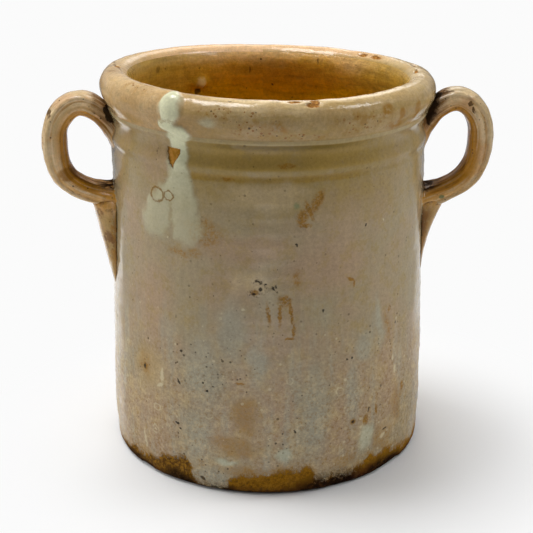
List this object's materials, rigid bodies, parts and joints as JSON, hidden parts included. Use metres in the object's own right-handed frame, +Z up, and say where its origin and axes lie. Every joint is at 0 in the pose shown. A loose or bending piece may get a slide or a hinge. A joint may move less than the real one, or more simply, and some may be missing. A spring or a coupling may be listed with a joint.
{
  "type": "preserve pot",
  "caption": "Straight-sided glazed earthenware preserve pot with a rolled rim, a ridged collar and ribbed loop handles.",
  "frame": {"origin": "middle of the foot, on the surface that the pot stands on", "axes": "+Z up the pot's axis towards the mouth, +X across the two handles, -Y towards the front with the thick glaze drip"},
  "size_m": [0.3158, 0.234, 0.2736],
  "materials": {
    "glazed_earthenware": "glossy, uneven lead-type glaze over fired clay, bare and stained at the foot"
  },
  "bodies": {
    "root": {"preserve_pot": "glazed_earthenware"}
  },
  "joints": []
}
